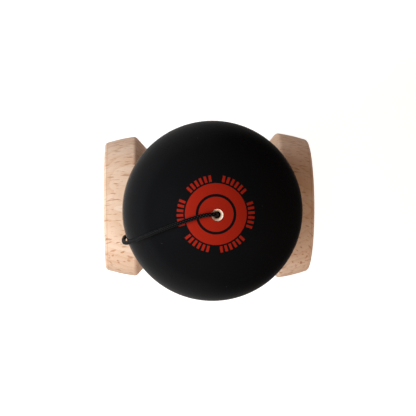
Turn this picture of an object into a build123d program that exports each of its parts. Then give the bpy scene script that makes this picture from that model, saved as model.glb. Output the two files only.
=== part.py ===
from build123d import *
import os
from math import pi, radians, sqrt, tan

# Kendama: a wooden cup-and-ball toy that stands on its base cup, with the ball on the spike.
# Frame: origin at the centre of the base cup's rim, +Z up along the handle, +X towards the
# big cup, string hole of the cup piece on the -Y side. Millimetres.

# ---- driving dimensions -------------------------------------------------------------------
# ball (tama)
ball_r = 30.0
ball_rise = 43.0            # ball centre above the axis of the side cups
hole_r = 11.3               # the hole that takes the spike
mouth_r = 12.7              # outer radius of the bevelled mouth of that hole
hole_end = 15.0             # end of the hole, above the ball's centre
bead_seat_r = 4.25
bead_seat_end = 19.5        # end of the bead's seat, above the ball's centre
string_hole_r = 1.15
string_mouth_r = 1.9        # raw wood bevel round the string hole

# handle with base cup and spike (ken)
cup_axis_z = 112.0          # axis of the side cups above the floor
base_rim_r = 21.0
base_dish_r = 18.6
base_dish_depth = 9.0
base_shoulder_r = 22.3
base_shoulder_z = 10.0
neck_r = 8.4
neck_z = 27.0
grip_r = 12.9               # thickest part of the handle, where the string is wound
grip_z = 89.0
seat_r = 10.6               # top face of the handle, under the cup piece
seat_z = 99.7
tenon_low_r = 8.6           # tapered stem through the cup piece
tenon_high_r = 7.9
tip_r = 3.3
tip_z = 164.0
knot_hole_r = 2.4           # cross hole in the stem, which hides the knot

# cup piece (sarado)
cups_length = 73.5
barrel_r = 12.2
barrel_half = 13.9
shoulder_x = 25.7
big_rim_r, big_shoulder_r, big_dish_r, big_dish_depth = 23.9, 26.5, 21.4, 11.0
small_rim_r, small_shoulder_r, small_dish_r, small_dish_depth = 22.95, 25.4, 20.5, 10.5
wall_bulge = 0.3            # how far a cup's outer wall swells beyond a straight cone
stem_clearance = 0.04
cup_string_hole_r = 1.3

# string with its bead and its two knots
string_r = 0.7
bead_r = 3.75
bead_hole_r = 1.1
bead_bottom = 14.4          # above the ball's centre
bead_top = 19.3
knot_r = 1.9
knot_length = 2.9
body_gap = 0.3              # between the lengths of string that ride on the ball and on the handle
split_z = 119.0             # height of that gap

winding_inner_r = grip_r + 0.1
winding_outer_r = winding_inner_r + 2 * string_r
winding_bottom_z = 85.3
winding_top_z = 91.7

# ---- worked-out places --------------------------------------------------------------------
ball_z = cup_axis_z + ball_rise
barrel_bottom_z = cup_axis_z - barrel_r
barrel_top_z = cup_axis_z + barrel_r
cups_half = cups_length / 2
ken_knot_y = -4.2           # middle of the knot inside the stem's cross hole

# The string's line from the knot inside the ball, up and over the ball, down its left side,
# past the cup piece and outside the turns on the handle to the lowest turn.
free_run = [
    (0.0, 0.0, 169.4),
    (0.2, 0.1, 175.2),
    (0.1, -0.1, 181.2),
    (-0.1, 0.1, 185.1),
    (-1.7, 0.2, 186.2),
    (-4.1, 0.0, 185.8),
    (-7.2, -0.9, 185.2),
    (-10.7, -2.1, 184.1),
    (-14.2, -3.5, 182.4),
    (-17.4, -4.8, 180.3),
    (-20.3, -6.1, 177.7),
    (-22.8, -7.3, 174.8),
    (-25.0, -8.4, 171.5),
    (-26.7, -9.2, 167.9),
    (-28.1, -9.8, 163.9),
    (-29.1, -10.3, 159.7),
    (-29.7, -10.4, 156.0),
    (-30.0, -10.0, 152.8),
    (-29.9, -9.2, 149.6),
    (-29.1, -8.7, 145.9),
    (-27.7, -9.2, 141.9),
    (-25.4, -10.4, 138.1),
    (-22.3, -12.0, 134.5),
    (-18.7, -13.6, 130.6),
    (-15.5, -14.9, 126.0),
    (-13.3, -15.7, 120.6),
    (-12.5, -16.0, 114.6),
    (-12.1, -15.9, 108.8),
    (-11.5, -15.3, 103.2),
    (-10.8, -14.5, 98.2),
    (-10.1, -13.8, 94.0),
    (-9.6, -13.2, 90.7),
    (-8.4, -13.2, 87.6),
    (-5.5, -14.1, 85.8),
    (-2.0, -13.9, 85.8),
    (0.8, -13.7, 86.0),
]

# The string's other end, from the highest turn up to the string hole of the cup piece.
tail_run = [
    (-2.4, -13.5, 90.7),
    (0.4, -13.9, 91.1),
    (2.8, -14.1, 92.7),
    (4.1, -14.5, 95.5),
    (4.1, -15.2, 98.9),
    (3.5, -16.2, 102.1),
    (2.5, -17.2, 105.0),
    (1.5, -17.7, 107.8),
    (0.7, -16.6, 110.5),
    (0.2, -14.3, 112.1),
    (0.1, -11.4, 112.25),
    (0.0, -8.5, 112.0),
    (0.0, ken_knot_y - knot_length / 2, 112.0),
]


def bend_radii(points):
    """Radius of the arc at each corner: 0.45 of its shorter run over tan(half the turn)."""
    corners = [Vector(*point) for point in points]
    runs = [end - start for start, end in zip(corners, corners[1:])]
    radii = []
    for before, after in zip(runs, runs[1:]):
        half_turn = radians(before.get_angle(after)) / 2
        radii.append(0.45 * min(before.length, after.length) / tan(half_turn))
    return radii


def string_tube(name, points):
    """Round tube along straight runs joined by tangent arcs."""
    radii = bend_radii(points)
    with BuildPart() as tube:
        with BuildLine() as path:
            FilletPolyline(*points, radius=radii)
        with BuildSketch(Plane(origin=path.wire() @ 0, z_dir=path.wire() % 0)):
            Circle(string_r)
        sweep()
    length = path.wire().length
    print(f"{name}: {length:.1f} mm long, section times length {pi * string_r**2 * length:.1f},",
          f"volume {tube.part.volume:.1f} mm3")
    print("  bend radii, mm:", ", ".join(f"{radius:.1f}" for radius in radii))
    return tube


def stopper_knot(plane):
    """Overhand knot as a small rounded barrel; the string enters its face on the plane."""
    with BuildPart() as knot:
        with BuildSketch(plane):
            Circle(knot_r)
        extrude(amount=-knot_length)
        fillet(knot.edges(), 0.6)
    return knot


# ---- handle with base cup and spike, turned from one piece of beech -------------------------
with BuildPart() as ken:
    with BuildSketch(Plane.XZ) as ken_outline:
        with BuildLine():
            TangentArc((0, base_dish_depth), (base_dish_r, 0), tangent=(1, 0))
            Line((base_dish_r, 0), (base_rim_r, 0))
            Line((base_rim_r, 0), (base_shoulder_r, base_shoulder_z))
            Line((base_shoulder_r, base_shoulder_z), (neck_r + 1.6, neck_z - 8))
            Spline(
                (neck_r + 1.6, neck_z - 8),
                (neck_r, neck_z),
                (10.1, 50),
                (12.0, 72),
                (grip_r, grip_z),
                tangents=((-0.6, 0.8), (0, 1)),
            )
            Spline(
                (grip_r, grip_z),
                (seat_r + 1.2, seat_z - 2),
                tangents=((0, 1), (-0.7, 0.7)),
            )
            Polyline(
                (seat_r + 1.2, seat_z - 2),
                (seat_r, seat_z),
                (tenon_low_r, seat_z),
                (tenon_high_r, barrel_top_z),
                (tip_r, tip_z),
                (0, tip_z),
                (0, base_dish_depth),
            )
        make_face()
        ken_rounds = [
            ((base_dish_r, 0), 0.6),
            ((base_rim_r, 0), 0.8),
            ((base_shoulder_r, base_shoulder_z), 1.6),
            ((seat_r, seat_z), 0.5),
            ((tip_r, tip_z), 1.6),
        ]
        for corner, radius in ken_rounds:
            fillet(ken_outline.vertices().sort_by_distance(corner)[0], radius)
    revolve(axis=Axis.Z)
    with Locations(Plane((0, -tenon_low_r, cup_axis_z), z_dir=(0, -1, 0))):
        Hole(knot_hole_r)
ken.part.label = "ken"

# ---- cup piece: big cup at +X, small cup at -X, bored across its barrel for the stem ---------
with BuildPart() as sarado:
    with BuildSketch(Plane((0, 0, cup_axis_z), x_dir=(1, 0, 0), z_dir=(0, -1, 0))) as cups_outline:
        small_dish_x = small_dish_depth - cups_half
        big_dish_x = cups_half - big_dish_depth
        wall_middle_x = (cups_half + shoulder_x) / 2
        with BuildLine():
            TangentArc((small_dish_x, 0), (-cups_half, small_dish_r), tangent=(0, 1))
            Line((-cups_half, small_dish_r), (-cups_half, small_rim_r))
            ThreePointArc(
                (-cups_half, small_rim_r),
                (-wall_middle_x, (small_rim_r + small_shoulder_r) / 2 + wall_bulge),
                (-shoulder_x, small_shoulder_r),
            )
            Polyline(
                (-shoulder_x, small_shoulder_r),
                (-barrel_half, barrel_r),
                (barrel_half, barrel_r),
                (shoulder_x, big_shoulder_r),
            )
            ThreePointArc(
                (shoulder_x, big_shoulder_r),
                (wall_middle_x, (big_rim_r + big_shoulder_r) / 2 + wall_bulge),
                (cups_half, big_rim_r),
            )
            Line((cups_half, big_rim_r), (cups_half, big_dish_r))
            TangentArc((big_dish_x, 0), (cups_half, big_dish_r), tangent=(0, 1))
            Line((big_dish_x, 0), (small_dish_x, 0))
        make_face()
        cups_rounds = [
            ((cups_half, big_rim_r), 1.0),
            ((cups_half, big_dish_r), 0.7),
            ((-cups_half, small_rim_r), 1.0),
            ((-cups_half, small_dish_r), 0.7),
            ((shoulder_x, big_shoulder_r), 1.5),
            ((-shoulder_x, small_shoulder_r), 1.5),
            ((barrel_half, barrel_r), 2.0),
            ((-barrel_half, barrel_r), 2.0),
        ]
        for corner, radius in cups_rounds:
            fillet(cups_outline.vertices().sort_by_distance(corner)[0], radius)
    revolve(axis=Axis((0, 0, cup_axis_z), (1, 0, 0)))
    with BuildSketch(Plane.XZ):
        taper = (tenon_low_r - tenon_high_r) / (barrel_top_z - seat_z)
        low_z = barrel_bottom_z - 1
        high_z = barrel_top_z + 1
        low_r = tenon_low_r + stem_clearance - taper * (low_z - seat_z)
        high_r = tenon_low_r + stem_clearance - taper * (high_z - seat_z)
        with BuildLine():
            Polyline((0, low_z), (low_r, low_z), (high_r, high_z), (0, high_z), close=True)
        make_face()
    revolve(axis=Axis.Z, mode=Mode.SUBTRACT)
    with Locations(Plane((0, -barrel_r, cup_axis_z), z_dir=(0, -1, 0))):
        CounterSinkHole(cup_string_hole_r, cup_string_hole_r + 0.6, depth=barrel_r - 6)
sarado.part.label = "sarado"

# ---- ball: bevelled hole for the spike, seat for the bead, string hole at the top ------------
with BuildPart() as tama:
    with BuildSketch(Plane((0, 0, ball_z), x_dir=(1, 0, 0), z_dir=(0, -1, 0))):
        string_mouth_z = sqrt(ball_r**2 - string_mouth_r**2)
        mouth_z = -sqrt(ball_r**2 - mouth_r**2)
        string_bevel = string_mouth_r - string_hole_r
        mouth_bevel = mouth_r - hole_r
        with BuildLine():
            Line((string_hole_r, string_mouth_z - string_bevel), (string_mouth_r, string_mouth_z))
            ThreePointArc((string_mouth_r, string_mouth_z), (ball_r, 0), (mouth_r, mouth_z))
            Polyline(
                (mouth_r, mouth_z),
                (hole_r, mouth_z + mouth_bevel),
                (hole_r, hole_end),
                (bead_seat_r, hole_end),
                (bead_seat_r, bead_seat_end),
                (string_hole_r, bead_seat_end),
                (string_hole_r, string_mouth_z - string_bevel),
            )
        make_face()
    revolve(axis=Axis.Z)
tama.part.label = "tama"

# ---- bead that carries the ball on the string, and the knot under it -------------------------
with BuildPart() as bead:
    with BuildSketch(Plane.XY.offset(ball_z + bead_bottom)):
        Circle(bead_r)
    extrude(amount=bead_top - bead_bottom)
    fillet(bead.edges(), 1.1)
    with Locations((0, 0, ball_z + bead_top)):
        Hole(bead_hole_r)
bead.part.label = "bead"

tama_knot = stopper_knot(Plane.XY.offset(ball_z + bead_bottom))
tama_knot.part.label = "tama_knot"

ken_knot = stopper_knot(Plane((0, ken_knot_y - knot_length / 2, cup_axis_z), z_dir=(0, -1, 0)))
ken_knot.part.label = "ken_knot"

# ---- string: three lengths of tube and the closed outer shape of the turns on the handle ------
whole_run = string_tube("free run", free_run)

with BuildPart() as string_upper:
    add(whole_run.part)
    split(bisect_by=Plane.XY.offset(split_z + body_gap / 2), keep=Keep.TOP)
string_upper.part.label = "string_upper"

with BuildPart() as string_lower:
    add(whole_run.part)
    split(bisect_by=Plane.XY.offset(split_z - body_gap / 2), keep=Keep.BOTTOM)
string_lower.part.label = "string_lower"

with BuildPart() as string_winding:
    with BuildSketch(Plane.XZ) as turns_outline:
        with Locations(((winding_inner_r + winding_outer_r) / 2, (winding_bottom_z + winding_top_z) / 2)):
            Rectangle(winding_outer_r - winding_inner_r, winding_top_z - winding_bottom_z)
        fillet(turns_outline.vertices(), 0.5)
    revolve(axis=Axis.Z)
string_winding.part.label = "string_winding"

string_tail = string_tube("tail run", tail_run)
string_tail.part.label = "string_tail"

os.makedirs("parts", exist_ok=True)
for piece in (ken, sarado, tama, bead, tama_knot, ken_knot,
              string_upper, string_lower, string_winding, string_tail):
    export_step(piece.part, f"parts/{piece.part.label}.step")
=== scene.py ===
import math

import bpy
import numpy as np
from mathutils import Matrix, Vector


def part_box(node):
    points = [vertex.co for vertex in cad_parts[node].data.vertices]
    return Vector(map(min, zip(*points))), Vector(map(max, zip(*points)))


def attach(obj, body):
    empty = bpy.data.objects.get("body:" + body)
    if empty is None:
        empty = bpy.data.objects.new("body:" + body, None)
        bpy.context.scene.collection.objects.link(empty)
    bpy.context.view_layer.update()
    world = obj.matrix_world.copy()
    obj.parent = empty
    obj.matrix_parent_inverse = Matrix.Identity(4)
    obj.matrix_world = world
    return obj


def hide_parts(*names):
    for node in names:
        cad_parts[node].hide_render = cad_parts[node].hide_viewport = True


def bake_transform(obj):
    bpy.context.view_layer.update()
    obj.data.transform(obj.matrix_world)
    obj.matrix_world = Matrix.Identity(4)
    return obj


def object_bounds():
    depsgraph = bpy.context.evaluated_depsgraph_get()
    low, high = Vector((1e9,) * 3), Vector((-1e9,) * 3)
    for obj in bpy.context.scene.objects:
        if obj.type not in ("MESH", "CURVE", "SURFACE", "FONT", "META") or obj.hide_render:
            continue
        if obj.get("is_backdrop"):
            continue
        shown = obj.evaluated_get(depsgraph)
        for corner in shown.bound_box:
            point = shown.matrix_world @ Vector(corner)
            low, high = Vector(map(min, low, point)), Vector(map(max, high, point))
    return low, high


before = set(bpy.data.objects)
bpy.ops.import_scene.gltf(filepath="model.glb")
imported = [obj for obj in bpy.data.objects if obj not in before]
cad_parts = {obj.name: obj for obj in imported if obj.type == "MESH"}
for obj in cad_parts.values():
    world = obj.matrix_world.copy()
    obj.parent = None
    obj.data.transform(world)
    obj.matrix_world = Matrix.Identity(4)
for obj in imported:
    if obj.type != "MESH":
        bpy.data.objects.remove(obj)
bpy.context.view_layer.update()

# ---- handle -------------------------------------------------------------------------------
# The handle, its base cup and its spike are one piece of beech, turned with the grain along
# its length, sanded and left bare. It stands on the rim of its base cup.
mm = 0.001


def shader_node(tree, kind, inputs=(), **options):
    """One shader node: its options are set, and its inputs, by name or number, filled or linked."""
    made = tree.nodes.new("ShaderNode" + kind)
    for option, value in options.items():
        setattr(made, option, value)
    for socket, value in dict(inputs).items():
        if isinstance(value, bpy.types.NodeSocket):
            tree.links.new(value, made.inputs[socket])
        else:
            made.inputs[socket].default_value = value
    return made


def calc(tree, operation, *values):
    """The result of one Math node."""
    return shader_node(tree, "Math", enumerate(values), operation=operation).outputs[0]


def ease(tree, value, low, high):
    """0 below low, 1 above high, and a smooth step between them."""
    limits = {"Value": value, "From Min": low, "From Max": high}
    return shader_node(tree, "MapRange", limits, interpolation_type="SMOOTHSTEP").outputs[0]


def tint(tree, share, first, second):
    """The first colour where share is 0, the second where it is 1."""
    return shader_node(tree, "Mix", {0: share, 6: first, 7: second}, data_type="RGBA").outputs[2]


def stretched_noise(tree, place, stretch, detail=1.0, roughness=0.5):
    """Noise of place (millimetres) after each axis is multiplied by stretch."""
    scaled = shader_node(tree, "VectorMath", {0: place, 1: stretch}, operation="MULTIPLY")
    settings = {"Vector": scaled.outputs[0], "Scale": 1.0, "Detail": detail, "Roughness": roughness}
    return shader_node(tree, "TexNoise", settings).outputs[0]


def finish_surface(tree, colour, roughness, height, relief, **shader_inputs):
    """Joins colour, roughness and a height in units of relief (metres) to the Principled shader."""
    shader = tree.nodes["Principled BSDF"]
    bump = shader_node(tree, "Bump", {"Height": height, "Strength": 1.0, "Distance": relief})
    tree.links.new(colour, shader.inputs["Base Color"])
    tree.links.new(roughness, shader.inputs["Roughness"])
    tree.links.new(bump.outputs[0], shader.inputs["Normal"])
    for name, value in shader_inputs.items():
        shader.inputs[name.replace("_", " ")].default_value = value


def between(tree, value, low, high):
    """1 where value lies from low to high, else 0."""
    above = calc(tree, "GREATER_THAN", value, low)
    return calc(tree, "MULTIPLY", above, calc(tree, "LESS_THAN", value, high))


def new_material(name):
    """An empty node material and its node tree."""
    material = bpy.data.materials.new(name)
    material.use_nodes = True
    return material, material.node_tree


beech_pale = (0.85, 0.64, 0.49, 1)
beech_warm = (0.72, 0.455, 0.29, 1)
beech_fleck = (0.45, 0.175, 0.06, 1)
beech_end = (0.60, 0.37, 0.23, 1)


def beech_nodes(tree, grain_turn, pith):
    """Colour, roughness and height of bare turned beech, from Object coordinates in millimetres.

    The place is turned so that X runs along the grain, Y across it and Z out from the pith,
    which lies pith millimetres below the origin.
    Growth rings: the fraction of (distance from the pith line, bent by slow noise) over the
    ring width, cubed, so that each ring darkens slowly and starts again at once.
    Rays: noise long along the grain and thin across it, kept only above a threshold and thinned
    out by slow noise, and a coarser set of the same kind for the bold flecks between them.
    Pores: much finer noise of the same kind. End grain, where the surface faces along X, is darker.
    """
    ring_width, ring_bend = 2.6, 7.0
    ray_stretch, bold_ray_stretch, pore_stretch = (0.28, 2.4, 0.55), (0.24, 1.5, 0.4), (0.9, 7.0, 7.0)
    ray_strength, bold_ray_share, pore_strength, end_strength = 0.75, 0.75, 0.16, 0.45
    cloud_warmth, ring_warmth = 0.45, 0.5
    texture_place = shader_node(tree, "TexCoord").outputs
    turn = {"Rotation": grain_turn, "Scale": (1 / mm, 1 / mm, 1 / mm)}
    place = shader_node(tree, "Mapping", {"Vector": texture_place["Object"], **turn}).outputs[0]
    along, across, out = shader_node(tree, "SeparateXYZ", {0: place}).outputs
    bend = stretched_noise(tree, place, (0.02, 0.11, 0.11), detail=2.0)
    from_pith = shader_node(tree, "CombineXYZ", {1: across, 2: calc(tree, "ADD", out, pith)})
    distance = shader_node(tree, "VectorMath", {0: from_pith.outputs[0]}, operation="LENGTH").outputs[1]
    bent = calc(tree, "MULTIPLY_ADD", bend, ring_bend, distance)
    ring = calc(tree, "POWER", calc(tree, "FRACT", calc(tree, "DIVIDE", bent, ring_width)), 3.0)
    cloud = ease(tree, stretched_noise(tree, place, (0.03, 0.16, 0.16)), 0.35, 0.65)
    thinning = ease(tree, stretched_noise(tree, place, (0.09, 0.25, 0.25)), 0.15, 0.55)
    ray_flecks = ease(tree, stretched_noise(tree, place, ray_stretch), 0.60, 0.72)
    bold_flecks = ease(tree, stretched_noise(tree, place, bold_ray_stretch), 0.62, 0.73)
    rays = calc(tree, "MAXIMUM", calc(tree, "MULTIPLY", ray_flecks, thinning),
                calc(tree, "MULTIPLY", bold_flecks, bold_ray_share))
    fine = stretched_noise(tree, place, pore_stretch)
    pores = ease(tree, fine, 0.56, 0.70)

    warmth = calc(tree, "MULTIPLY", ring, ring_warmth)
    warmth = calc(tree, "MULTIPLY_ADD", cloud, cloud_warmth, warmth)
    colour = tint(tree, warmth, beech_pale, beech_warm)
    colour = tint(tree, calc(tree, "MULTIPLY", rays, ray_strength), colour, beech_fleck)
    colour = tint(tree, calc(tree, "MULTIPLY", pores, pore_strength), colour, beech_fleck)
    facing = shader_node(tree, "Mapping", {"Vector": texture_place["Normal"], "Rotation": grain_turn})
    end_facing = shader_node(tree, "SeparateXYZ", {0: facing.outputs[0]}).outputs[0]
    end_grain = ease(tree, calc(tree, "ABSOLUTE", end_facing), 0.6, 0.97)
    colour = tint(tree, calc(tree, "MULTIPLY", end_grain, end_strength), colour, beech_end)
    roughness = calc(tree, "MULTIPLY_ADD", rays, -0.08, calc(tree, "MULTIPLY_ADD", fine, 0.16, 0.46))
    height = calc(tree, "SUBTRACT", calc(tree, "MULTIPLY", rays, 0.3), pores)
    return colour, roughness, height


def bare_beech(name, grain_turn, pith, axis=2, shaded_edges=()):
    """Sanded bare beech with its grain turned to the piece. A fine dark line of painted shade runs round
    each edge, at a place (metres) along the turning axis, standing for the shadow on the rim's rounding."""
    edge_shade_half_width, edge_shade_strength = 0.13 * mm, 0.3
    material, tree = new_material(name)
    colour, roughness, height = beech_nodes(tree, grain_turn, pith)
    position = shader_node(tree, "SeparateXYZ", {0: shader_node(tree, "TexCoord").outputs["Object"]})
    # Painted shade: a thin dark line round each edge stands for the shadow on the rim's rounding.
    for edge in shaded_edges:
        line = between(tree, position.outputs[axis], edge - edge_shade_half_width, edge + edge_shade_half_width)
        colour = tint(tree, calc(tree, "MULTIPLY", line, edge_shade_strength), colour, beech_fleck)
    finish_surface(tree, colour, roughness, height, 0.02 * mm)
    return material


grain_up = (math.radians(3), math.radians(90), math.radians(2))
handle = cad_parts["ken"]
handle.material_slots[0].material = bare_beech("bare_beech_handle", grain_up, pith=46)

# ---- cup piece ----------------------------------------------------------------------------
# The cup piece carries the two side cups. It is turned from one piece of beech with the grain
# from cup to cup, drilled for the handle's stem, and pushed down onto it.
grain_sideways = (math.radians(40), math.radians(-2), math.radians(4))
rim_rounding = 1.0 * mm
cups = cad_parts["sarado"]
cups_low, cups_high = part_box("sarado")
rim_edges = (cups_low.x + rim_rounding, cups_high.x - rim_rounding)
cups.material_slots[0].material = bare_beech("bare_beech_cups", grain_sideways, pith=38,
                                             axis=0, shaded_edges=rim_edges)

# ---- string -------------------------------------------------------------------------------
# The string is a black braided cord, knotted inside the ball. It leaves the ball's top, lies
# over the ball's left side and is put away in three turns round the handle's thickest part;
# its other end goes into the cup piece's side hole, where a second knot holds it.
cord_radius = 0.7 * mm
cord_steps_round = 32
braid_strands = 4            # strands that wind each way
braid_pitch = 0.95 * mm      # length of one crossing along the cord
braid_relief = 0.12 * mm
# Painted shade in the braid's grooves and a painted highlight on its strand tops.
groove_shade_black = (0.0004, 0.0004, 0.0005, 1)
strand_highlight_black = (0.032, 0.033, 0.035, 1)

# The string's route in millimetres: from the knot in the ball over it and down to the handle,
# and, after three turns there, from the last turn to the knot in the cup piece's side hole.
ball_to_turns = [
    (0.0, 0.0, 169.4),
    (0.2, 0.1, 175.2),
    (0.1, -0.1, 181.2),
    (-0.1, 0.1, 185.1),
    (-1.7, 0.2, 186.2),
    (-4.1, 0.0, 185.8),
    (-7.2, -0.9, 185.2),
    (-10.7, -2.1, 184.1),
    (-14.2, -3.5, 182.4),
    (-17.4, -4.8, 180.3),
    (-20.3, -6.1, 177.7),
    (-22.8, -7.3, 174.8),
    (-25.0, -8.4, 171.5),
    (-26.7, -9.2, 167.9),
    (-28.0, -9.8, 163.9),
    (-28.9, -10.2, 159.7),
    (-29.4, -10.3, 156.0),
    (-29.65, -9.9, 152.8),
    (-29.55, -9.15, 149.6),
    (-28.8, -8.7, 145.9),
    (-27.7, -9.2, 141.9),
    (-25.4, -10.4, 138.1),
    (-22.3, -12.0, 134.5),
    (-18.7, -13.6, 130.6),
    (-15.5, -14.9, 126.0),
    (-13.3, -15.7, 120.6),
    (-12.5, -16.0, 114.6),
    (-12.1, -15.9, 108.8),
    (-11.5, -15.3, 103.2),
    (-10.8, -14.5, 98.2),
    (-10.1, -13.8, 94.0),
    (-9.6, -13.2, 90.7),
    (-8.4, -13.2, 87.6),
    (-5.5, -14.1, 85.8),
    (-2.0, -13.9, 85.8),
    (0.8, -13.7, 86.0),
]
turns_to_cups = [
    (-2.4, -13.5, 90.7),
    (0.4, -13.9, 91.1),
    (2.8, -14.1, 92.7),
    (4.1, -14.5, 95.5),
    (4.1, -15.2, 98.9),
    (3.5, -16.2, 102.1),
    (2.5, -17.2, 105.0),
    (1.5, -17.7, 107.8),
    (0.7, -16.6, 110.5),
    (0.2, -14.3, 112.1),
    (0.1, -11.4, 112.25),
    (0.0, -8.5, 112.0),
    (0.0, -5.65, 112.0),
]
turn_steps = 24              # route points in one turn round the handle
turn_radius = 13.82          # the smooth line runs just inside its points, at 13.7


def turns_between(last, first):
    """Points of a rising helix from the place last to the place first, three times round."""
    start_angle = math.atan2(last[1], last[0])
    end_angle = math.atan2(first[1], first[0]) + 6 * math.pi
    count = round((end_angle - start_angle) / (2 * math.pi) * turn_steps)
    helix = []
    for step in range(1, count):
        share = step / count
        angle = start_angle + share * (end_angle - start_angle)
        height = last[2] + share * (first[2] - last[2])
        helix.append((turn_radius * math.cos(angle), turn_radius * math.sin(angle), height))
    return helix


def smooth_line(points):
    """Close points of the NURBS line that a route's points (metres) control."""
    curve = bpy.data.curves.new("route", "CURVE")
    curve.dimensions = "3D"
    curve.resolution_u = 24
    spline = curve.splines.new("NURBS")
    spline.points.add(len(points) - 1)
    spline.points.foreach_set("co", np.column_stack([points, np.ones(len(points))]).ravel())
    spline.order_u = 3
    spline.use_endpoint_u = True
    holder = bpy.data.objects.new("route", curve)
    line = bpy.data.meshes.new_from_object(holder)
    places = np.zeros(len(line.vertices) * 3)
    line.vertices.foreach_get("co", places)
    bpy.data.objects.remove(holder)
    bpy.data.meshes.remove(line)
    return places.reshape(-1, 3)


def evenly_spaced(line, step):
    """Points about one step apart along a line, and how far along it each is."""
    gaps = np.linalg.norm(np.diff(line, axis=0), axis=1)
    travelled = np.concatenate([[0], np.cumsum(gaps)])
    wanted = np.linspace(0, travelled[-1], round(travelled[-1] / step) + 1)
    centres = [np.interp(wanted, travelled, line[:, axis]) for axis in range(3)]
    return np.column_stack(centres), wanted


def unit(vectors):
    """Each row at length 1."""
    return vectors / np.linalg.norm(vectors, axis=-1, keepdims=True)


def untwisted_sides(centres):
    """Two directions across a path at each of its points, which turn no more than the path does.

    A fixed direction made square to the path gives a first side. Carrying each side to the next
    point by the smallest turn shows how far the next first side has twisted from it, and the
    running sum of those twists is taken off.
    """
    forward = unit(np.gradient(centres, axis=0))
    odd_direction = unit(np.array([0.36, 0.48, 0.80]))
    side = unit(odd_direction - forward * (forward @ odd_direction)[:, None])
    turn = np.cross(forward[:-1], forward[1:])
    slow = 1 + (forward[:-1] * forward[1:]).sum(1)
    swept = np.cross(turn, side[:-1])
    carried = side[:-1] + swept + np.cross(turn, swept) / slow[:, None]
    rise = (np.cross(carried, side[1:]) * forward[1:]).sum(1)
    twist = np.concatenate([[0], np.cumsum(np.arctan2(rise, (carried * side[1:]).sum(1)))])
    other = np.cross(forward, side)
    cos, sin = np.cos(twist)[:, None], np.sin(twist)[:, None]
    return forward, side * cos - other * sin, other * cos + side * sin


def braid_height(turn, travelled):
    """Height of a braid, 0 in its grooves and 1 on its strands, at a share of a turn round the
    cord and a distance along it. Strands wind both ways, at strands * turn plus and minus the
    distance over the pitch, and the height is the size of the product of the two sines."""
    along = travelled / braid_pitch
    return np.abs(np.sin(np.pi * (braid_strands * turn + along))
                  * np.sin(np.pi * (braid_strands * turn - along)))


def braided_cord(name, line, radius):
    """A closed braided tube along a line: a ring round each centre, square to the path and of
    radius less the depth of the braid's grooves, and a pointed cap at each end. Its UV map holds
    the share of a turn and the distance along in braid pitches."""
    centres, travelled = evenly_spaced(line, braid_pitch / 4)
    forward, side, other = untwisted_sides(centres)
    rings, steps = len(centres), cord_steps_round
    turn = np.arange(steps) / steps
    height = braid_height(turn[None, :], travelled[:, None])
    reach = (radius - braid_relief * (1 - height))[:, :, None]
    angle = 2 * np.pi * turn[None, :, None]
    rows = centres[:, None] + reach * (np.cos(angle) * side[:, None] + np.sin(angle) * other[:, None])
    tips = centres[[0, -1]] + 0.4 * radius * np.array([[-1], [1]]) * forward[[0, -1]]
    vertices = np.concatenate([rows.reshape(-1, 3), tips])

    row, column = np.meshgrid(np.arange(rings - 1), np.arange(steps), indexing="ij")
    after = (column + 1) % steps
    quads = np.stack([row * steps + column, row * steps + after,
                      (row + 1) * steps + after, (row + 1) * steps + column], axis=-1).reshape(-1, 4)
    last, tip = (rings - 1) * steps, np.full(steps, rings * steps)
    first_cap = np.stack([tip, after[0], column[0]], axis=-1)
    last_cap = np.stack([tip + 1, last + column[0], last + after[0]], axis=-1)
    mesh = bpy.data.meshes.new(name)
    mesh.from_pydata(vertices, [], quads.tolist() + first_cap.tolist() + last_cap.tolist())

    pitches = travelled / braid_pitch
    quad_turn = np.stack([column, column + 1, column + 1, column], axis=-1) / steps
    quad_along = np.stack([pitches[row], pitches[row], pitches[row + 1], pitches[row + 1]], axis=-1)
    cap_uv = np.concatenate([np.tile([0.5, 0], (3 * steps, 1)), np.tile([0.5, pitches[-1]], (3 * steps, 1))])
    uv = np.concatenate([np.stack([quad_turn, quad_along], axis=-1).reshape(-1, 2), cap_uv])
    mesh.uv_layers.new(name="braid").data.foreach_set("uv", uv.astype(np.float32).ravel())
    lift = mesh.attributes.new("braid_height", "FLOAT", "POINT")
    lift.data.foreach_set("value", np.append(height.ravel(), [0.5, 0.5]).astype(np.float32))
    mesh.shade_smooth()
    made = bpy.data.objects.new(name, mesh)
    bpy.context.scene.collection.objects.link(made)
    return made, centres


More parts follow.
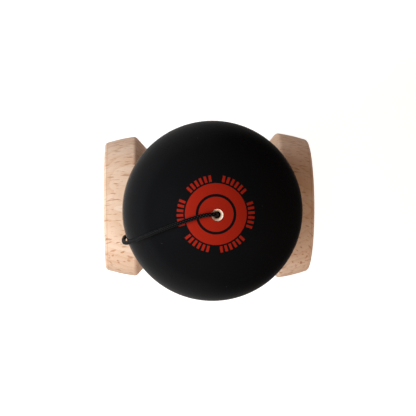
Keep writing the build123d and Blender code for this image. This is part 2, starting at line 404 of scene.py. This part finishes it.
def black_cord(name):
    """Black polyester braid with fine filaments: its grooves are darkened as painted shade and the tops of
    its strands lightened as a painted highlight.

    Filaments: sine stripes along the strand on top, which is the one that winds one way where
    the two strand numbers have an even sum, and the other way where it is odd."""
    filaments = 5
    material, tree = new_material(name)
    uv = shader_node(tree, "UVMap", uv_map="braid").outputs[0]
    turn, along, _ = shader_node(tree, "SeparateXYZ", {0: uv}).outputs
    one_way = calc(tree, "MULTIPLY_ADD", turn, braid_strands, along)
    other_way = calc(tree, "SUBTRACT", calc(tree, "MULTIPLY", turn, braid_strands), along)
    crossings = calc(tree, "ADD", calc(tree, "FLOOR", one_way), calc(tree, "FLOOR", other_way))
    odd = calc(tree, "PINGPONG", crossings, 1.0)
    across = calc(tree, "ADD", calc(tree, "MULTIPLY", one_way, odd),
                  calc(tree, "MULTIPLY", other_way, calc(tree, "SUBTRACT", 1.0, odd)))
    stripe = calc(tree, "SINE", calc(tree, "MULTIPLY", across, 2 * math.pi * filaments))
    lift = shader_node(tree, "Attribute", attribute_name="braid_height").outputs["Fac"]
    # The colour follows the braid's height: painted shade in the grooves, a painted highlight on the
    # strands.
    colour = tint(tree, ease(tree, lift, 0.3, 0.95), groove_shade_black, strand_highlight_black)
    roughness = calc(tree, "MULTIPLY_ADD", stripe, 0.05, 0.45)
    finish_surface(tree, colour, roughness, stripe, 0.006 * mm, Specular_IOR_Level=0.1)
    return material


string_route = ball_to_turns + turns_between(ball_to_turns[-1], turns_to_cups[0]) + turns_to_cups
string, string_centres = braided_cord("string", smooth_line(np.array(string_route) * mm), cord_radius)
braid_black = black_cord("black_braided_cord")
string.data.materials.append(braid_black)
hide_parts("string_upper", "string_lower", "string_winding", "string_tail")
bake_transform(string)

# ---- knots --------------------------------------------------------------------------------
# Each end of the string is tied in a tight double overhand knot, drawn up against the bead in
# the ball and against the wall of the side hole in the stem.
knot_cord_radius = 0.54 * mm
wrap_radius, wrap_pitch = 1.25, 1.12     # millimetres
knot_wraps = 1.6
wrap_steps = 12                          # route points in one wrap


def knot_route(face, into):
    """Points of a knot below its face, which is in metres: straight in, then a helix back round
    itself. into is the way the cord runs."""
    depth = 2.35
    points = [(0, 0, 0.3), (0, 0, -0.8), (0.05, 0, -1.6), (0.35, 0, -depth)]
    for step in range(round(knot_wraps * wrap_steps) + 1):
        angle = 2 * math.pi * step / wrap_steps
        rise = wrap_pitch * step / wrap_steps
        points.append((wrap_radius * math.cos(angle), wrap_radius * math.sin(angle), rise - depth))
    turned = Vector(into).normalized().to_track_quat("-Z", "Y").to_matrix()
    return np.array([np.array(turned @ Vector(point)) * mm + np.array(face) for point in points])


knots = {}
for node, into in (("tama_knot", (0, 0, -1)), ("ken_knot", (0, 1, 0))):
    low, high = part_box(node)
    middle, half = (low + high) / 2, (high - low) / 2
    face = middle - Vector(into) * abs(half.dot(Vector(into)))
    knots[node], _ = braided_cord(f"{node}_tied", smooth_line(knot_route(face, into)), knot_cord_radius)
    knots[node].data.materials.append(braid_black)
    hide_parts(node)
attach(knots["tama_knot"], "string_end")
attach(knots["ken_knot"], "ken")

# ---- bead ---------------------------------------------------------------------------------
# A small round wooden bead on the string, inside the ball under its string hole, keeps the
# knot from pulling through.
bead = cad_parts["bead"]
bead.material_slots[0].material = bare_beech("bead_beech", grain_up, pith=12)

# ---- ball ---------------------------------------------------------------------------------
# The ball is turned beech, sprayed with matt black lacquer over a pale primer and printed in red
# round its string hole. Its bevels and bores are cut after that, so they show primer and wood.
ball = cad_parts["tama"]
string_mouth_radius = 1.9 * mm
ball_low, ball_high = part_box("tama")
ball_radius = (ball_high.x - ball_low.x) / 2
ball_centre = Vector(((ball_low.x + ball_high.x) / 2, (ball_low.y + ball_high.y) / 2,
                      ball_high.z - math.sqrt(ball_radius**2 - string_mouth_radius**2)))
# The print's sizes are in millimetres: a disc, a thin ring left black in it, and bars round it.
print_centre = Vector((-0.4, 0.2, 0))
disc_radius = 9.65
ring_radius, ring_half_width = 5.9, 0.42
bars_inner, bars_outer, bar_half_width = 10.15, 12.2, 0.42
bar_groups, bars_in_group, bar_step = 6, 6, math.radians(7.6)
bar_phase = math.radians(-2)
lacquer_black = (0.0050, 0.0052, 0.0058, 1)
ink_red = (0.29, 0.0145, 0.0062, 1)
primer_white = (0.88, 0.84, 0.74, 1)
dust_grey = (0.6, 0.6, 0.6, 1)


def print_mask(tree, place):
    """1 on the printed red: a disc with a plain ring left out, and groups of short radial bars
    round it. place is in millimetres from the ball's centre.

    Bars: the angle is folded into one group, then into one bar, and the distance from that
    bar's middle line is angle times radius."""
    x, y, z = shader_node(tree, "SeparateXYZ", {0: place}).outputs
    x = calc(tree, "SUBTRACT", x, print_centre.x)
    y = calc(tree, "SUBTRACT", y, print_centre.y)
    radius = calc(tree, "POWER", calc(tree, "MULTIPLY_ADD", x, x, calc(tree, "MULTIPLY", y, y)), 0.5)
    angle = calc(tree, "SUBTRACT", calc(tree, "ARCTAN2", y, x), bar_phase)
    group_turn = 2 * math.pi / bar_groups
    in_group = calc(tree, "WRAP", angle, group_turn / 2, -group_turn / 2)
    in_bar = calc(tree, "WRAP", in_group, bar_step, 0.0)
    off_middle = calc(tree, "ABSOLUTE", calc(tree, "SUBTRACT", in_bar, bar_step / 2))
    off_line = calc(tree, "MULTIPLY", off_middle, radius)
    on_bar = calc(tree, "LESS_THAN", off_line, bar_half_width)
    inside_group = calc(tree, "LESS_THAN", calc(tree, "ABSOLUTE", in_group), bars_in_group / 2 * bar_step)
    bars = calc(tree, "MULTIPLY", calc(tree, "MULTIPLY", on_bar, inside_group),
                between(tree, radius, bars_inner, bars_outer))
    ring = between(tree, radius, ring_radius - ring_half_width, ring_radius + ring_half_width)
    disc = calc(tree, "MULTIPLY", calc(tree, "LESS_THAN", radius, disc_radius),
                calc(tree, "SUBTRACT", 1.0, ring))
    printed = calc(tree, "MAXIMUM", disc, bars)
    return calc(tree, "MULTIPLY", printed, calc(tree, "GREATER_THAN", z, 0.0))


def lacquered_ball(name):
    """Matt black lacquer with red print on the sphere itself, and a few specks of dust. Where the
    surface lies inside the sphere, on the bevels and in the bores, a rim of primer, then beech.
    Depths are in millimetres under the sphere. The lacquer's low IOR leaves it matt but for a
    faint gloss where it is seen edge on."""
    lacquer_depth, primer_depth = 0.06, 0.32
    material, tree = new_material(name)
    shift = {"Location": -ball_centre / mm, "Scale": (1 / mm, 1 / mm, 1 / mm)}
    place = shader_node(tree, "Mapping", {"Vector": shader_node(tree, "TexCoord").outputs["Object"],
                                          **shift}).outputs[0]
    reach = shader_node(tree, "VectorMath", {0: place}, operation="LENGTH").outputs[1]
    painted = calc(tree, "GREATER_THAN", reach, ball_radius / mm - lacquer_depth)
    printed = print_mask(tree, place)
    grain = stretched_noise(tree, place, (3.0, 3.0, 3.0), detail=2.0)
    specks = shader_node(tree, "TexVoronoi", {"Vector": place, "Scale": 0.16}, feature="F1")
    speck = calc(tree, "LESS_THAN", specks.outputs["Distance"], 0.014)
    lacquer = tint(tree, printed, lacquer_black, ink_red)
    lacquer = tint(tree, calc(tree, "MULTIPLY", speck, 0.2), lacquer, dust_grey)
    wood_colour, wood_roughness, _ = beech_nodes(tree, grain_up, pith=60)
    primed = calc(tree, "GREATER_THAN", reach, ball_radius / mm - primer_depth)
    colour = tint(tree, calc(tree, "MULTIPLY", primed, 0.85), wood_colour, primer_white)
    colour = tint(tree, painted, colour, lacquer)
    lacquer_roughness = calc(tree, "MULTIPLY_ADD", grain, 0.06, 0.2)
    roughness = calc(tree, "ADD", calc(tree, "MULTIPLY", painted, lacquer_roughness),
                     calc(tree, "MULTIPLY", calc(tree, "SUBTRACT", 1.0, painted), wood_roughness))
    height = calc(tree, "ADD", calc(tree, "MULTIPLY", grain, 0.25), calc(tree, "MULTIPLY", printed, 0.7))
    finish_surface(tree, colour, roughness, height, 0.008 * mm, IOR=1.12)
    return material


ball.material_slots[0].material = lacquered_ball("matt_black_ball")

# ---- studio -------------------------------------------------------------------------------
# The toy stands on a white table and is seen from straight above, a little to one side, with
# one large soft light from the left and a weak one from the front. The table glows a little, more
# so far away, so that it stays white, and in a gloss it is mirrored bright only on the left.
floor_mesh = bpy.data.meshes.new("table")
floor_half = 3.0
table_glow, far_table_glow = 0.45, 0.65
table_paint = (0.8, 0.8, 0.8, 1)
mirrored_left, mirrored_right = (0.34, 0.34, 0.34, 1), (0.02, 0.02, 0.02, 1)
floor_mesh.from_pydata([(-floor_half, -floor_half, 0), (floor_half, -floor_half, 0),
                        (floor_half, floor_half, 0), (-floor_half, floor_half, 0)], [], [(0, 1, 2, 3)])
floor = bpy.data.objects.new("table", floor_mesh)
bpy.context.scene.collection.objects.link(floor)
floor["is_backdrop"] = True
table_white, table_tree = new_material("white_table")
shine = table_tree.nodes["Principled BSDF"]
shine.inputs["Roughness"].default_value = 0.9
shine.inputs["Emission Color"].default_value = (1, 1, 1, 1)
light_path = shader_node(table_tree, "LightPath").outputs
table_place = shader_node(table_tree, "NewGeometry").outputs["Position"]
from_toy = shader_node(table_tree, "VectorMath", {0: table_place}, operation="LENGTH").outputs[1]
farness = ease(table_tree, from_toy, 0.25, 1.6)
spread_glow = calc(table_tree, "MULTIPLY_ADD", farness, far_table_glow, table_glow)
glow = calc(table_tree, "MULTIPLY", light_path["Is Camera Ray"], spread_glow)
table_tree.links.new(glow, shine.inputs["Emission Strength"])
to_right = shader_node(table_tree, "SeparateXYZ", {0: table_place}).outputs[0]
rightness = ease(table_tree, to_right, -0.12, 0.16)
mirrored_white = tint(table_tree, rightness, mirrored_left, mirrored_right)
white = tint(table_tree, light_path["Is Glossy Ray"], table_paint, mirrored_white)
table_tree.links.new(white, shine.inputs["Base Color"])
floor_mesh.materials.append(table_white)
toy_middle = Vector((0, 0, 0.14))


def soft_light(name, place, size, power, colour):
    """A softbox of size (width, height) at a place, turned to shine at the toy. It lights every
    surface but isn't mirrored in any gloss."""
    light = bpy.data.lights.new(name, "AREA")
    light.shape = "RECTANGLE"
    light.size, light.size_y = size
    light.energy = power
    light.color = colour
    lamp = bpy.data.objects.new(name, light)
    lamp.location = place
    lamp.rotation_euler = (toy_middle - Vector(place)).to_track_quat("-Z", "Y").to_euler()
    lamp.visible_glossy = False
    bpy.context.scene.collection.objects.link(lamp)


soft_light("left_softbox", (-1.0, -0.08, 0.85), (1.4, 1.1), 27.5, (0.9, 0.96, 1.0))
soft_light("front_softbox", (0.9, -0.8, 0.7), (0.6, 0.6), 5.8, (1.0, 0.9, 0.8))

# The room fills the shadows with a warm light. Seen directly it is white, in a gloss nearly dark.
room_light, seen_more, mirrored_less = 0.19, 1.2, -0.13
room_warm, room_white = (1, 0.6, 0.38, 1), (1, 1, 1, 1)
world = bpy.data.worlds.new("studio")
world.use_nodes = True
sky = world.node_tree.nodes["Background"]
light_path = shader_node(world.node_tree, "LightPath").outputs
sky_colour = tint(world.node_tree, light_path["Is Camera Ray"], room_warm, room_white)
world.node_tree.links.new(sky_colour, sky.inputs["Color"])
sky_strength = calc(world.node_tree, "MULTIPLY_ADD", light_path["Is Camera Ray"], seen_more, room_light)
sky_strength = calc(world.node_tree, "MULTIPLY_ADD", light_path["Is Glossy Ray"], mirrored_less,
                    sky_strength)
world.node_tree.links.new(sky_strength, sky.inputs["Strength"])
bpy.context.scene.world = world
bpy.context.scene.view_settings.view_transform = "Standard"

# The camera looks down the handle, tilted a few degrees off it. The leans say how far the
# handle's axis leans in its view, to the right and downwards, and ball_seen is where the ball's
# centre lies from the camera, in the camera's own directions.
lean_right, lean_down = math.radians(2.74), math.radians(2.34)
roll = math.radians(0.23)
up_seen = Vector((math.sin(lean_right), -math.sin(lean_down), 0))
up_seen.z = math.sqrt(1 - up_seen.length_squared)
right_seen = Vector((math.cos(roll), math.sin(roll), 0))
right_seen = (right_seen - up_seen * up_seen.dot(right_seen)).normalized()
back_seen = up_seen.cross(right_seen)
camera_turn = Matrix((right_seen, back_seen, up_seen))
ball_seen = Vector((1.48647, -0.93654, -431.94)) * mm
camera_data = bpy.data.cameras.new("camera")
camera_data.sensor_width = 36
camera_data.lens = 112.153
camera_data.clip_start = 0.01
camera = bpy.data.objects.new("camera", camera_data)
camera.matrix_world = Matrix.Translation(ball_centre - camera_turn @ ball_seen) @ camera_turn.to_4x4()
bpy.context.scene.collection.objects.link(camera)
bpy.context.scene.camera = camera

low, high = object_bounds()
